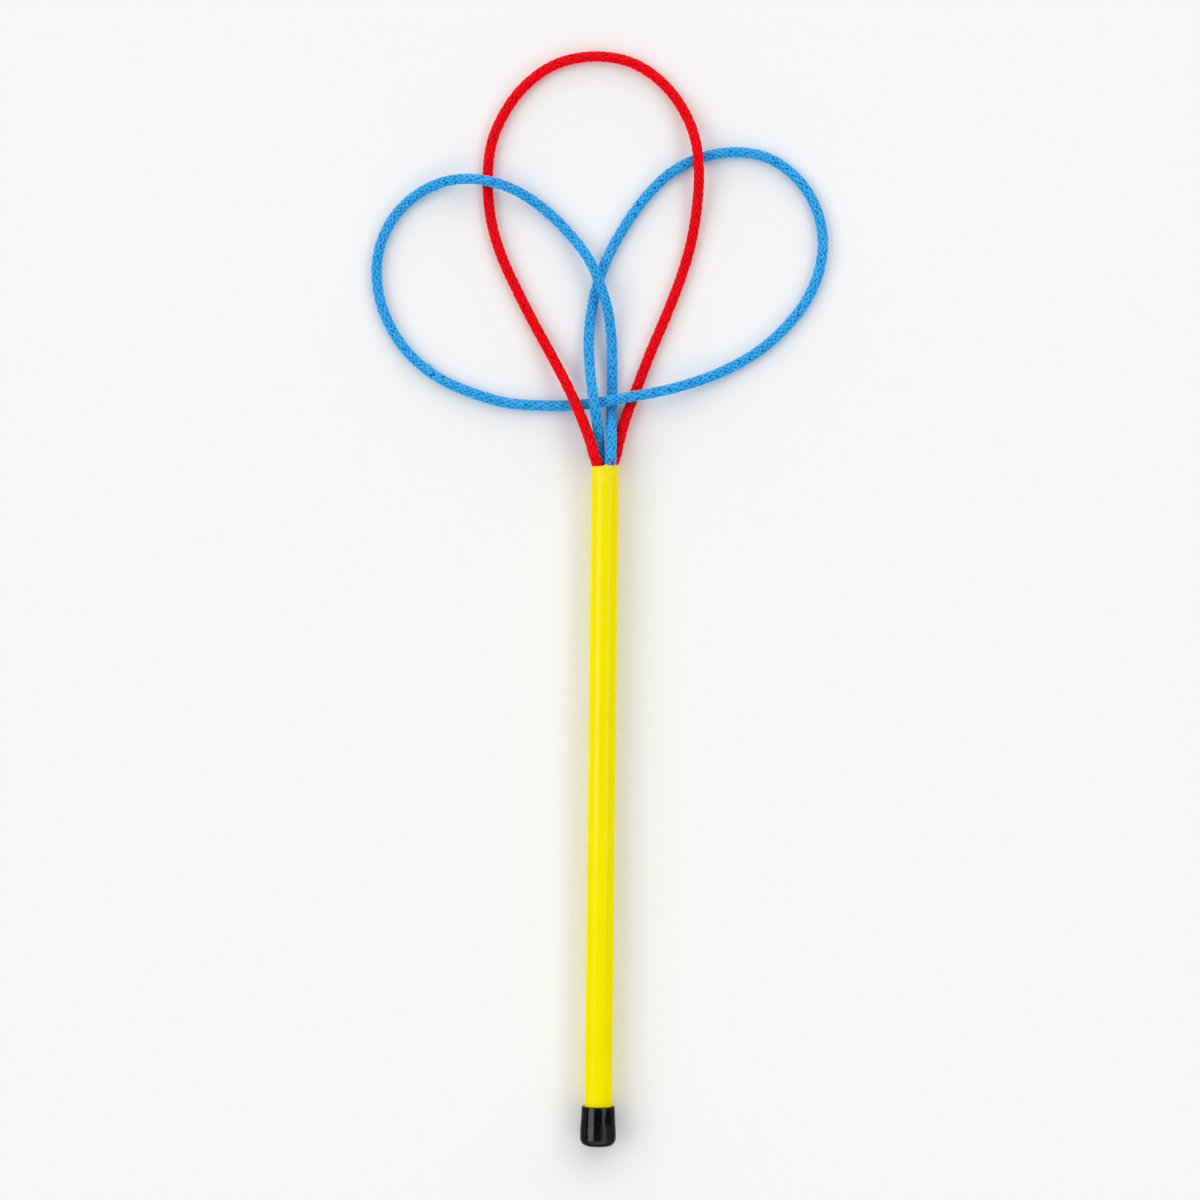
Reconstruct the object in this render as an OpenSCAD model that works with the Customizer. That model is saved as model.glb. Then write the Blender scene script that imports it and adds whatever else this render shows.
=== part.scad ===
// Bubble wand: a straight tube handle with a push-on end cap, and two wire-cored rope
// hoops. The red rope makes one tall teardrop. The blue rope makes two round side loops
// and crosses itself and the red one. The four rope ends are packed side by side into
// the tube's mouth, where a plug of hot-melt glue holds them.
// The wand lies flat, face up: +Y runs along the handle from the cap to the hoops, +X is
// across the hoops, and the origin is the middle of the cap's end face.

/* [Handle] */
// Length of the plastic tube, from the cap's floor to the mouth
tube_len = 336; // [150:1:500]
// Wall of the tube
tube_wall = 0.75; // [0.5:0.05:2]
// Slant of the sawn mouth, in degrees
mouth_slant = 4; // [0:0.5:8]
// How far the tube's wall is pushed out by the ropes at the mouth
mouth_swell = 0.15; // [0:0.05:0.4]
// Length over which the tube swells towards the mouth
mouth_swell_len = 14; // [5:1:30]

/* [End cap] */
// Length of the end cap over all
cap_len = 20; // [14:0.5:35]
// Thickness of the cap's closed end, which the tube stands on
cap_floor = 4; // [2:0.5:6]
// Wall of the cap at its rim
cap_wall = 1.4; // [0.8:0.1:2.5]
// How much the cap's radius grows from the rim to the band near its closed end
cap_swell = 0.65; // [0:0.05:1.5]
// Radius of the rounded edge of the closed end
cap_edge_r = 4; // [1.5:0.25:4.5]
// Length of the straight band next to the rounded edge
cap_band_len = 4; // [2:0.5:6]
// Radius of the rounded lip at the cap's rim
cap_lip_r = 0.5; // [0.2:0.05:0.7]
// Gap between the tube and the cap's socket
cap_gap = 0.05; // [0.02:0.01:0.2]

/* [Ropes] */
// Diameter of the braided rope where nothing squeezes it
rope_d = 5.2; // [4.4:0.1:6]
// Diameter of a rope squeezed in the handle, as a share of its free diameter
pack_share = 0.915; // [0.85:0.005:1]
// Width of a rope where it bulges out of the mouth, as a share of its free diameter
bulge_share = 1.12; // [1:0.01:1.15]
// Diameter of the spring wire inside each rope
core_d = 1.6; // [1:0.1:2.2]
// Gap between the wire and the braid around it
core_gap = 0.05; // [0.02:0.01:0.15]
// Least gap between two ropes that cross
cross_gap = 0.2; // [0.1:0.05:0.6]
// Length of each rope end inside the handle
tail_len = 45; // [25:1:80]

/* [Hoops] */
// Reach of the tall hoop's middle line above the mouth
hoop_reach = 205.5; // [150:0.5:260]
// Width that the side loops' middle lines spread over, as if both reached as far as the wider one
hoop_spread = 230; // [180:1:290]

/* [Glue plug] */
// Glue between two rope ends, and between a rope end and the tube's bore
glue_film = 0.2; // [0.15:0.01:0.4]
// Gap that the glue leaves when it shrinks
glue_gap = 0.05; // [0.02:0.005:0.06]
// Solid glue below the rope ends
glue_floor = 8; // [3:0.5:20]
// How far the glue stops below the mouth
glue_recess = 1; // [0.5:0.1:5]

/* [Hidden] */

// Sides of a rope's round section, and of a wire's
rope_sides = 12;
core_sides = 8;
// Distance between two rings of a rope
ring_step = 2 * rope_d;
// Rings on each of the two short stretches where a rope fans out of the mouth
fan_rings = 2;
// Facets of round bores and walls
round_fn = 96;
// How far a cutting shape runs past what it cuts
overrun = 1;

// Four equal ropes touch two neighbours each, so their middles are the corners of a square
pack_d = rope_d * pack_share;
pack_r = (pack_d + glue_film) / sqrt(2);
bore_r = pack_r + pack_d / 2 + glue_film;
tube_r = bore_r + tube_wall;
mouth_y = cap_floor + tube_len;
mouth_rise = (tube_r + mouth_swell) * tan(mouth_slant);

// The cap's socket, rim and widest part
socket_r = tube_r + cap_gap;
rim_r = socket_r + cap_wall;
band_r = rim_r + cap_swell;

// Ropes that rest beside the cap, and the height that one rope adds over another
rest_z = rope_d / 2 - band_r;
layer = rope_d + cross_gap;

// Turn of each rope end round the handle's axis, from +X towards +Z
red_left_turn = 144;
blue_right_turn = red_left_turn - 90;
red_right_turn = red_left_turn - 180;
blue_left_turn = red_left_turn - 270;

// Where the ropes bulge over the mouth's edge, and where they have fanned out: the height
// in ropes, and the spread as a share of the packed place
bulge_height_share = 0.3;
bulge_spread_share = 1.34;
fan_height_share = 0.8;
red_fan_share = 1.8;
blue_fan_share = 1.35;

// Routes of the hoops: each point is its place to the side as a share of half the spread,
// its height above the mouth as a share of the reach, and its lift off the ground in ropes
red_shares = [
    [-0.063, 0.055, 1.7],
    [-0.1, 0.11, 1.6],
    [-0.16, 0.185, 1.25],
    [-0.23, 0.26, 0.55],
    [-0.315, 0.345, 0.05],
    [-0.385, 0.42, 0],
    [-0.45, 0.495, 0],
    [-0.497, 0.57, 0],
    [-0.52, 0.64, 0],
    [-0.525, 0.71, 0],
    [-0.51, 0.785, 0],
    [-0.46, 0.855, 0],
    [-0.375, 0.922, 0],
    [-0.245, 0.977, 0],
    [-0.07, 1, 0],
    [0.11, 0.983, 0],
    [0.24, 0.933, 0],
    [0.33, 0.865, 0.3],
    [0.38, 0.79, 0.95],
    [0.394, 0.72, 1],
    [0.388, 0.635, 0.4],
    [0.365, 0.55, 0],
    [0.32, 0.46, 0],
    [0.256, 0.365, 0],
    [0.183, 0.265, 0],
    [0.134, 0.19, 0.05],
    [0.083, 0.11, 0.25],
    [0.055, 0.05, 0.5],
];
blue_shares = [
    [-0.027, 0.047, 0.5],
    [-0.035, 0.1, 1.3],
    [-0.053, 0.16, 1.95],
    [-0.07, 0.235, 0.95],
    [-0.077, 0.31, 0.15],
    [-0.063, 0.39, 0],
    [-0.035, 0.455, 0],
    [0.01, 0.52, 0],
    [0.09, 0.6, 0],
    [0.183, 0.67, 0],
    [0.29, 0.725, 0],
    [0.418, 0.758, 0],
    [0.557, 0.77, 0],
    [0.695, 0.757, 0],
    [0.81, 0.715, 0],
    [0.89, 0.657, 0],
    [0.935, 0.58, 0],
    [0.93, 0.497, 0],
    [0.88, 0.42, 0],
    [0.79, 0.35, 0],
    [0.67, 0.288, 0],
    [0.527, 0.24, 0.05],
    [0.378, 0.206, 0.5],
    [0.227, 0.182, 1.1],
    [0.096, 0.168, 1.25],
    [-0.017, 0.156, 0.95],
    [-0.14, 0.148, 0.25],
    [-0.278, 0.147, 0],
    [-0.435, 0.153, 0],
    [-0.583, 0.176, 0],
    [-0.73, 0.212, 0],
    [-0.857, 0.268, 0],
    [-0.948, 0.341, 0],
    [-1, 0.43, 0],
    [-1, 0.51, 0],
    [-0.948, 0.589, 0],
    [-0.852, 0.65, 0],
    [-0.722, 0.688, 0.4],
    [-0.574, 0.695, 1.05],
    [-0.43, 0.676, 0.75],
    [-0.287, 0.63, 0.1],
    [-0.165, 0.565, 0.2],
    [-0.074, 0.497, 0.9],
    [-0.028, 0.438, 1.15],
    [0, 0.39, 0.85],
    [0.02, 0.321, 0.2],
    [0.026, 0.243, 0],
    [0.027, 0.18, 0],
    [0.026, 0.14, 0.15],
    [0.025, 0.09, 0.95],
    [0.025, 0.047, 1.75],
];

// Place of a rope end at a height along the handle, and the height of the slanted mouth
// where that rope end leaves it
function packed(turn, y, spread) = [spread * cos(turn), y, spread * sin(turn)];
function mouth_at(turn) = mouth_y + pack_r * cos(turn) * tan(mouth_slant);

// The three points where a rope leaves the mouth: packed, bulging, fanned out
function leaving(turn, fan_share) =
    let (
        bulge_y = mouth_at(turn) + bulge_height_share * rope_d,
        fan_y = mouth_at(turn) + fan_height_share * rope_d
    )
    [
        [each packed(turn, mouth_at(turn), pack_r), pack_d / 2],
        [each packed(turn, bulge_y, pack_r * bulge_spread_share), rope_d / 2 * bulge_share],
        [each packed(turn, fan_y, pack_r * fan_share), rope_d / 2]
    ];

// Whole route of one rope: out of the mouth at its first end, round its hoop, and back
// into the mouth. The fourth value of each point is the rope's radius there.
function route(shares, first_turn, last_turn, fan_share) =
    let (entering = leaving(last_turn, fan_share))
    concat(
        leaving(first_turn, fan_share),
        [for (s = shares)
            [s[0] * hoop_spread / 2, mouth_y + s[1] * hoop_reach, rest_z + s[2] * layer, rope_d / 2]],
        [entering[2], entering[1], entering[0]]
    );

function place(p) = [p[0], p[1], p[2]];
function chord(p, i) = place(p[i + 1]) - place(p[i]);

// Direction of a route at one of its points: between its two chords, closer to the
// shorter one, and at the ends halfway between its chord and the handle's axis
function heading(p, i) =
    let (
        last = len(p) - 1,
        a = i == 0 ? [0, norm(chord(p, 0)), 0] : chord(p, i - 1),
        b = i == last ? [0, -norm(a), 0] : chord(p, i)
    )
    (a / norm(a) * norm(b) + b / norm(b) * norm(a)) / (norm(a) + norm(b));

// Point of the smooth curve at share t of the stretch after point i, kept off the ground
function curve_point(p, i, t) =
    let (
        s = t * t * (3 - 2 * t),
        start_pull = heading(p, i) * (t - 2 * t * t + t * t * t),
        end_pull = heading(p, i + 1) * (t * t * t - t * t),
        q = place(p[i]) * (1 - s) + place(p[i + 1]) * s
            + (start_pull + end_pull) * norm(chord(p, i)),
        r = p[i][3] * (1 - s) + p[i + 1][3] * s
    )
    [q[0], q[1], max(q[2], r - band_r), r];

// Rings on the stretch after point i: a fixed few where the rope fans out of the mouth
function ring_count(p, i) =
    i < 2 || i > len(p) - 4 ? fan_rings : max(1, round(norm(chord(p, i)) / ring_step));

// Every ring of a rope, with its straight tails inside the handle
function rings(p) =
    let (last = len(p) - 1)
    concat(
        [[p[0][0], mouth_y - tail_len, p[0][2], p[0][3]]],
        [for (i = [0:last - 1]) let (n = ring_count(p, i)) for (k = [0:n - 1]) curve_point(p, i, k / n)],
        [p[last]],
        [[p[last][0], mouth_y - tail_len, p[last][2], p[last][3]]]
    );

// Length of a line of rings
function line_length(c, i = 0) = i > len(c) - 2 ? 0 : norm(chord(c, i)) + line_length(c, i + 1);

// Points of a ring of the given radius round point i of a line, square to the line
function ring_points(c, i, r, sides) =
    let (
        last = len(c) - 1,
        along = place(c[min(i + 1, last)]) - place(c[max(i - 1, 0)]),
        side = cross(along, [0, 0, 1]),
        u = side / norm(side),
        lift = cross(u, along),
        v = lift / norm(lift)
    )
    [for (k = [0:sides - 1])
        let (a = 360 * k / sides)
        place(c[i]) + (u * cos(a) + v * sin(a)) * r];

// Triangles between two neighbouring rings whose first points are a and b
function band_faces(a, b, n) =
    [for (k = [0:n - 1]) let (m = (k + 1) % n) each [[a + k, a + m, b + m], [a + k, b + m, b + k]]];

function flipped(faces) = [for (f = faces) [f[0], f[2], f[1]]];

// Solid wire along a line
module wire(c, d) {
    n = core_sides;
    last = (len(c) - 1) * n;
    polyhedron(
        [for (i = [0:len(c) - 1]) each ring_points(c, i, d / 2, n)],
        concat(
            [for (i = [0:len(c) - 2]) each band_faces(i * n, (i + 1) * n, n)],
            [for (k = [1:n - 2]) [0, k + 1, k]],
            [for (k = [1:n - 2]) [last, last + k, last + k + 1]]
        )
    );
}

// Braided cover along a line, with a bore for the wire, as one closed skin
module cover(c, bore) {
    n = rope_sides;
    inner = len(c) * n;
    last = (len(c) - 1) * n;
    polyhedron(
        concat(
            [for (i = [0:len(c) - 1]) each ring_points(c, i, c[i][3], n)],
            [for (i = [0:len(c) - 1]) each ring_points(c, i, bore / 2, n)]
        ),
        concat(
            [for (i = [0:len(c) - 2]) each band_faces(i * n, (i + 1) * n, n)],
            flipped([for (i = [0:len(c) - 2]) each band_faces(inner + i * n, inner + (i + 1) * n, n)]),
            flipped(band_faces(0, inner, n)),
            band_faces(last, inner + last, n)
        )
    );
}

red_rings = rings(route(red_shares, red_left_turn, red_right_turn, red_fan_share));
blue_rings = rings(route(blue_shares, blue_left_turn, blue_right_turn, blue_fan_share));
echo(str("Red rope, cut length: ", round(line_length(red_rings)), " mm"));
echo(str("Blue rope, cut length: ", round(line_length(blue_rings)), " mm"));

// Turns a shape that is drawn upwards so that it runs along the handle
module along_handle(y = 0) {
    translate([0, y, 0]) rotate([-90, 0, 0]) children();
}

// Plastic tube of the handle, swollen a little at its mouth and sawn on a slight slant
module handle_tube() {
    top = tube_len + mouth_rise + overrun;
    swell_from = tube_len - mouth_swell_len;
    reach = 2 * (tube_r + mouth_swell + overrun);
    color([0.96, 0.9, 0.03])
    difference() {
        along_handle(cap_floor)
            rotate_extrude($fn = round_fn)
                polygon([
                    [bore_r, 0],
                    [tube_r, 0],
                    [tube_r, swell_from],
                    [tube_r + mouth_swell, tube_len],
                    [tube_r + mouth_swell, top],
                    [bore_r + mouth_swell, top],
                    [bore_r + mouth_swell, tube_len],
                    [bore_r, swell_from],
                ]);
        translate([0, mouth_y, 0])
            rotate([0, 0, mouth_slant])
                translate([-reach / 2, 0, -reach / 2])
                    cube(reach);
    }
}

// Soft vinyl cap pushed over the tube's end: a thick closed end with a rounded edge, a
// straight band, and a wall that tapers to a rounded lip
module end_cap() {
    color([0.06, 0.06, 0.07])
    along_handle()
        rotate_extrude($fn = round_fn)
            difference() {
                union() {
                    square([band_r - cap_edge_r, cap_edge_r + cap_band_len]);
                    translate([band_r - cap_edge_r, cap_edge_r])
                        circle(cap_edge_r, $fn = round_fn);
                    translate([rim_r - cap_lip_r, cap_len - cap_lip_r])
                        circle(cap_lip_r, $fn = round_fn / 2);
                    polygon([
                        [0, cap_edge_r],
                        [band_r, cap_edge_r],
                        [band_r, cap_edge_r + cap_band_len],
                        [rim_r, cap_len - cap_lip_r],
                        [rim_r - cap_lip_r, cap_len - cap_lip_r],
                        [rim_r - cap_lip_r, cap_len],
                        [0, cap_len],
                    ]);
                }
                translate([-overrun, cap_floor])
                    square([socket_r + overrun, cap_len]);
                translate([-band_r, 0])
                    square([band_r, cap_len]);
            }
}

// Braided cotton cover of the tall hoop
module red_rope() {
    color([0.86, 0.02, 0.09]) cover(red_rings, core_d + 2 * core_gap);
}

// Spring wire that keeps the tall hoop open
module red_core() {
    color([0.6, 0.62, 0.65]) wire(red_rings, core_d);
}

// Braided cotton cover of the two side loops, one unbroken rope
module blue_rope() {
    color([0.13, 0.55, 0.87]) cover(blue_rings, core_d + 2 * core_gap);
}

// Spring wire that keeps the side loops open
module blue_core() {
    color([0.6, 0.62, 0.65]) wire(blue_rings, core_d);
}

// Hot-melt glue round the four rope ends, with a solid slug below them
module glue_plug() {
    foot_y = mouth_y - tail_len - glue_gap - glue_floor;
    plug_len = mouth_y - glue_recess - foot_y;
    color([0.9, 0.88, 0.8])
    difference() {
        along_handle(foot_y)
            cylinder(h = plug_len, r = bore_r - glue_gap, $fn = round_fn);
        for (turn = [red_left_turn, blue_right_turn, red_right_turn, blue_left_turn])
            translate(packed(turn, foot_y + glue_floor, pack_r))
                rotate([-90, 0, 0])
                    cylinder(h = plug_len, r = pack_d / 2 + glue_gap, $fn = round_fn / 2);
    }
}

handle_tube();
end_cap();
red_rope();
red_core();
blue_rope();
blue_core();
glue_plug();
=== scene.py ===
"""Bubble wand: a yellow tube handle with a black end cap, and two hoops of braided rope.

The wand lies flat, face up, in the solids' own frame: the origin is the middle of the cap's end
face, +Y runs along the handle to the hoops, +X is to the right and +Z is up. Lengths are metres
and turns are degrees from +X towards +Z.
Every shape is a surface on a grid of two parameters, worked out as whole numpy arrays.
"""
import logging
from dataclasses import dataclass, field
from enum import Enum

import bpy
import numpy as np
from mathutils import Matrix, Vector


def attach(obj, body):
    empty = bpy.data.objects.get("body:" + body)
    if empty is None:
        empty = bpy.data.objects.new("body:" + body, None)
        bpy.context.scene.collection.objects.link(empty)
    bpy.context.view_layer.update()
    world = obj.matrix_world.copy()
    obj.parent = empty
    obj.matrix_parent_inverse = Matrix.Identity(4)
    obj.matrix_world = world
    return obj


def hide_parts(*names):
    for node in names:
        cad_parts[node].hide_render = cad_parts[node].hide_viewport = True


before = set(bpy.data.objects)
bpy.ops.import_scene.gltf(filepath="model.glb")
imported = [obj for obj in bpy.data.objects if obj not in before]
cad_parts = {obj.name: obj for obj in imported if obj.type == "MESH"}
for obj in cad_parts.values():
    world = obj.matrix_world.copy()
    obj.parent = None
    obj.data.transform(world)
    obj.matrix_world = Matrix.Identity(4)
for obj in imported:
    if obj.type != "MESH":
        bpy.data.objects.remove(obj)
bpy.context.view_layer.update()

LOG = logging.getLogger("wand")
Array = np.ndarray
Range = tuple[float, float]
Triple = tuple[float, float, float]
Colour = Triple
Socket = bpy.types.NodeSocket
Source = Socket | float | Colour
UP = np.array([0.0, 0.0, 1.0])
UV_PER_METRE = 100.0


# Sizes and routes


@dataclass(frozen=True)
class WandSizes:
    """Sizes of the wand in metres and degrees, the same as those of the solids."""

    tube_len: float = 0.336
    tube_wall: float = 0.00075
    mouth_slant: float = 4.0
    mouth_swell: float = 0.00015
    mouth_swell_len: float = 0.014
    cap_len: float = 0.020
    cap_floor: float = 0.004
    cap_wall: float = 0.0014
    cap_swell: float = 0.00065
    cap_edge_r: float = 0.004
    cap_band_len: float = 0.004
    cap_lip_r: float = 0.0005
    cap_gap: float = 0.00005
    rope_d: float = 0.0052
    pack_share: float = 0.915
    bulge_share: float = 1.12
    cross_gap: float = 0.0002
    tail_len: float = 0.045
    hoop_reach: float = 0.2055
    hoop_spread: float = 0.230
    glue_film: float = 0.0002
    bulge_height_share: float = 0.3
    bulge_spread_share: float = 1.34
    fan_height_share: float = 0.8

    @property
    def pack_d(self) -> float:
        """Diameter of a rope squeezed in the handle."""
        return self.rope_d * self.pack_share

    @property
    def pack_r(self) -> float:
        """Distance from the handle's axis to the middle of a packed rope."""
        return (self.pack_d + self.glue_film) / np.sqrt(2.0)

    @property
    def bore_r(self) -> float:
        """Radius of the tube's bore."""
        return self.pack_r + self.pack_d / 2 + self.glue_film

    @property
    def tube_r(self) -> float:
        """Outer radius of the tube."""
        return self.bore_r + self.tube_wall

    @property
    def mouth_y(self) -> float:
        """Height of the mouth's middle above the cap's end face."""
        return self.cap_floor + self.tube_len

    @property
    def mouth_rise(self) -> float:
        """Rise of the sawn mouth for each metre to the right."""
        return float(np.tan(np.radians(self.mouth_slant)))

    @property
    def socket_r(self) -> float:
        """Radius of the cap's socket."""
        return self.tube_r + self.cap_gap

    @property
    def rim_r(self) -> float:
        """Outer radius of the cap at its rim."""
        return self.socket_r + self.cap_wall

    @property
    def band_r(self) -> float:
        """Largest radius of the cap, which is also the axis's height above the ground."""
        return self.rim_r + self.cap_swell

    @property
    def rest_z(self) -> float:
        """Height of the middle of a rope that lies on the ground."""
        return self.rope_d / 2 - self.band_r

    @property
    def layer(self) -> float:
        """Height that one rope adds over another."""
        return self.rope_d + self.cross_gap


SIZES = WandSizes()

# Each point is the place to the side as a share of half the spread, the height above the mouth
# as a share of the reach, and the lift off the ground in ropes.
RED_SHARES = (
    (-0.063, 0.055, 1.7), (-0.1, 0.11, 1.6), (-0.16, 0.185, 1.25), (-0.23, 0.26, 0.55),
    (-0.315, 0.345, 0.05), (-0.385, 0.42, 0), (-0.45, 0.495, 0), (-0.497, 0.57, 0),
    (-0.52, 0.64, 0), (-0.525, 0.71, 0), (-0.51, 0.785, 0), (-0.46, 0.855, 0),
    (-0.375, 0.922, 0), (-0.245, 0.977, 0), (-0.07, 1, 0), (0.11, 0.983, 0),
    (0.24, 0.933, 0), (0.33, 0.865, 0.3), (0.38, 0.79, 0.95), (0.394, 0.72, 1),
    (0.388, 0.635, 0.4), (0.365, 0.55, 0), (0.32, 0.46, 0), (0.256, 0.365, 0),
    (0.183, 0.265, 0), (0.134, 0.19, 0.05), (0.083, 0.11, 0.25), (0.055, 0.05, 0.5),
)
BLUE_SHARES = (
    (-0.027, 0.047, 0.5), (-0.035, 0.1, 1.3), (-0.053, 0.16, 1.95), (-0.07, 0.235, 0.95),
    (-0.077, 0.31, 0.15), (-0.063, 0.39, 0), (-0.035, 0.455, 0), (0.01, 0.52, 0),
    (0.09, 0.6, 0), (0.183, 0.67, 0), (0.29, 0.725, 0), (0.418, 0.758, 0),
    (0.557, 0.77, 0), (0.695, 0.757, 0), (0.81, 0.715, 0), (0.89, 0.657, 0),
    (0.935, 0.58, 0), (0.93, 0.497, 0), (0.88, 0.42, 0), (0.79, 0.35, 0),
    (0.67, 0.288, 0), (0.527, 0.24, 0.05), (0.378, 0.206, 0.5), (0.227, 0.182, 1.1),
    (0.096, 0.168, 1.25), (-0.017, 0.156, 0.95), (-0.14, 0.148, 0.25), (-0.278, 0.147, 0),
    (-0.435, 0.153, 0), (-0.583, 0.176, 0), (-0.73, 0.212, 0), (-0.857, 0.268, 0),
    (-0.948, 0.341, 0), (-1, 0.43, 0), (-1, 0.51, 0), (-0.948, 0.589, 0),
    (-0.852, 0.65, 0), (-0.722, 0.688, 0.4), (-0.574, 0.695, 1.05), (-0.43, 0.676, 0.75),
    (-0.287, 0.63, 0.1), (-0.165, 0.565, 0.2), (-0.074, 0.497, 0.9), (-0.028, 0.438, 1.15),
    (0, 0.39, 0.85), (0.02, 0.321, 0.2), (0.026, 0.243, 0), (0.027, 0.18, 0),
    (0.026, 0.14, 0.15), (0.025, 0.09, 0.95), (0.025, 0.047, 1.75),
)


def unit(vectors: Array) -> Array:
    """Vectors along the last axis, each divided by its own length."""
    return vectors / np.linalg.norm(vectors, axis=-1, keepdims=True)


def smooth(t: Array) -> Array:
    """Smooth step of numbers from 0 to 1: 3 t squared less 2 t cubed."""
    return t * t * (3 - 2 * t)


def angles(count: int) -> Array:
    """Even angles of one full turn, in radians."""
    return 2 * np.pi * np.arange(count) / count


def travelled(points: Array) -> Array:
    """Length along a line of points up to each of them."""
    return np.concatenate([[0], np.cumsum(np.linalg.norm(np.diff(points, axis=0), axis=1))])


def blurred(values: Array, weights: Array) -> Array:
    """A row of numbers, each replaced by the weighted mean of those round it.

    Args:
        values: the row.
        weights: an odd number of weights.

    Returns:
        A row of the same length.
    """
    row = np.pad(values, len(weights) // 2, mode="edge")
    return np.convolve(row, weights / weights.sum(), "valid")


def wander(rng: np.random.Generator, count: int, knots: int, size: float, rows: int = 1) -> Array:
    """Slow random curves: random values at a few knots, joined by half cosine waves.

    Args:
        rng: source of the values.
        count: points on each curve.
        knots: random values on each curve.
        size: standard deviation of the values.
        rows: how many curves.

    Returns:
        An array of rows by count.
    """
    values = rng.normal(0.0, size, (rows, knots + 1))
    t = np.linspace(0, knots - 1e-6, count)
    i, f = t.astype(int), t - t.astype(int)
    s = (1 - np.cos(np.pi * f)) / 2
    return values[:, i] * (1 - s) + values[:, i + 1] * s


@dataclass(frozen=True)
class RopeRoute:
    """The line that one rope follows: up its tail, out of the mouth, round its hoop and back.

    The turns are the places of its two ends round the handle's axis.
    """

    shares: tuple
    first_turn: float
    last_turn: float
    fan_share: float
    step: float = 0.0005
    samples: int = 32
    soften: int = 5
    soften_height: int = 41

    def _leaving(self, turn: float) -> Array:
        """The three points where a rope leaves the mouth: packed, bulging and fanned out.

        Each point stands at its spread times the cosine and sine of the turn.

        Args:
            turn: place round the handle's axis.

        Returns:
            Three rows of x, y, z and rope radius.
        """
        z = SIZES
        c, s = np.cos(np.radians(turn)), np.sin(np.radians(turn))
        spread = z.pack_r * np.array([1.0, z.bulge_spread_share, self.fan_share])
        height = z.rope_d * np.array([0.0, z.bulge_height_share, z.fan_height_share])
        height += z.mouth_y + z.pack_r * c * z.mouth_rise
        radius = np.array([z.pack_d, z.rope_d * z.bulge_share, z.rope_d]) / 2
        return np.stack([spread * c, height, spread * s, radius], axis=1)

    def points(self) -> Array:
        """All points of the route: one end, the hoop and the other end.

        Returns:
            Rows of x, y, z and rope radius.
        """
        z = SIZES
        s = np.array(self.shares, float)
        hoop = np.stack([
            s[:, 0] * z.hoop_spread / 2,
            z.mouth_y + s[:, 1] * z.hoop_reach,
            z.rest_z + s[:, 2] * z.layer,
            np.full(len(s), z.rope_d / 2),
        ], axis=1)
        first, last = self._leaving(self.first_turn), self._leaving(self.last_turn)
        return np.concatenate([first, hoop, last[::-1]])

    def line(self) -> tuple[Array, Array]:
        """The smooth line of the rope, with rings at even steps.

        Between two points the line is a cubic whose ends follow the mean of the neighbouring
        chords, each weighted by the other's length. It is kept off the ground, then cut at even
        lengths of arc, and a short running mean takes out the kinks at the mouth. A longer mean,
        weighted by a half cosine wave, rounds the heights where the rope climbs over another.

        Returns:
            The line as rows of x, y and z, and the rope's radius at each row.
        """
        z = SIZES
        pts = self.points()
        p, r = pts[:, :3], pts[:, 3]
        d = np.diff(p, axis=0)
        h = np.linalg.norm(d, axis=1, keepdims=True)
        u = d / h
        v = np.empty_like(p)
        v[1:-1] = (u[:-1] * h[1:] + u[1:] * h[:-1]) / (h[:-1] + h[1:])
        v[0], v[-1] = (u[0] + (0, 1, 0)) / 2, (u[-1] - (0, 1, 0)) / 2
        t = np.linspace(0, 1, self.samples, endpoint=False)[None, :, None]
        s = smooth(t)
        pull = v[:-1, None] * (t - 2 * t**2 + t**3) + v[1:, None] * (t**3 - t**2)
        curve = (p[:-1, None] * (1 - s) + p[1:, None] * s + pull * h[:, None]).reshape(-1, 3)
        radius = (r[:-1, None] * (1 - s[..., 0]) + r[1:, None] * s[..., 0]).ravel()
        curve[:, 2] = np.maximum(curve[:, 2], radius - z.band_r)
        foot = (0, z.mouth_y - z.tail_len, 0)
        tails = p[[0, -1]] * (1, 0, 1) + foot
        curve = np.concatenate([tails[:1], curve, p[-1:], tails[1:]])
        radius = np.concatenate([r[:1], radius, r[-1:], r[-1:]])
        far = travelled(curve)
        at = np.linspace(0, far[-1], int(far[-1] / self.step))
        line = np.stack([np.interp(at, far, column) for column in curve.T], axis=1)
        inside = slice(self.soften // 2, -(self.soften // 2))
        soft = np.stack([blurred(column, np.ones(self.soften)) for column in line.T], axis=1)
        line[inside] = soft[inside]
        height = blurred(line[:, 2], np.hanning(self.soften_height + 2)[1:-1])
        outside = np.clip((line[:, 1] - z.mouth_y) / z.rope_d - 1, 0, 1)
        line[:, 2] += outside * (height - line[:, 2])
        return line, np.interp(at, far, radius)


# Meshes from arrays


class Join(Enum):
    """How the rings of a surface end."""

    OPEN = "flat end faces"
    LOOP = "last ring joined to the first"


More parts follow.
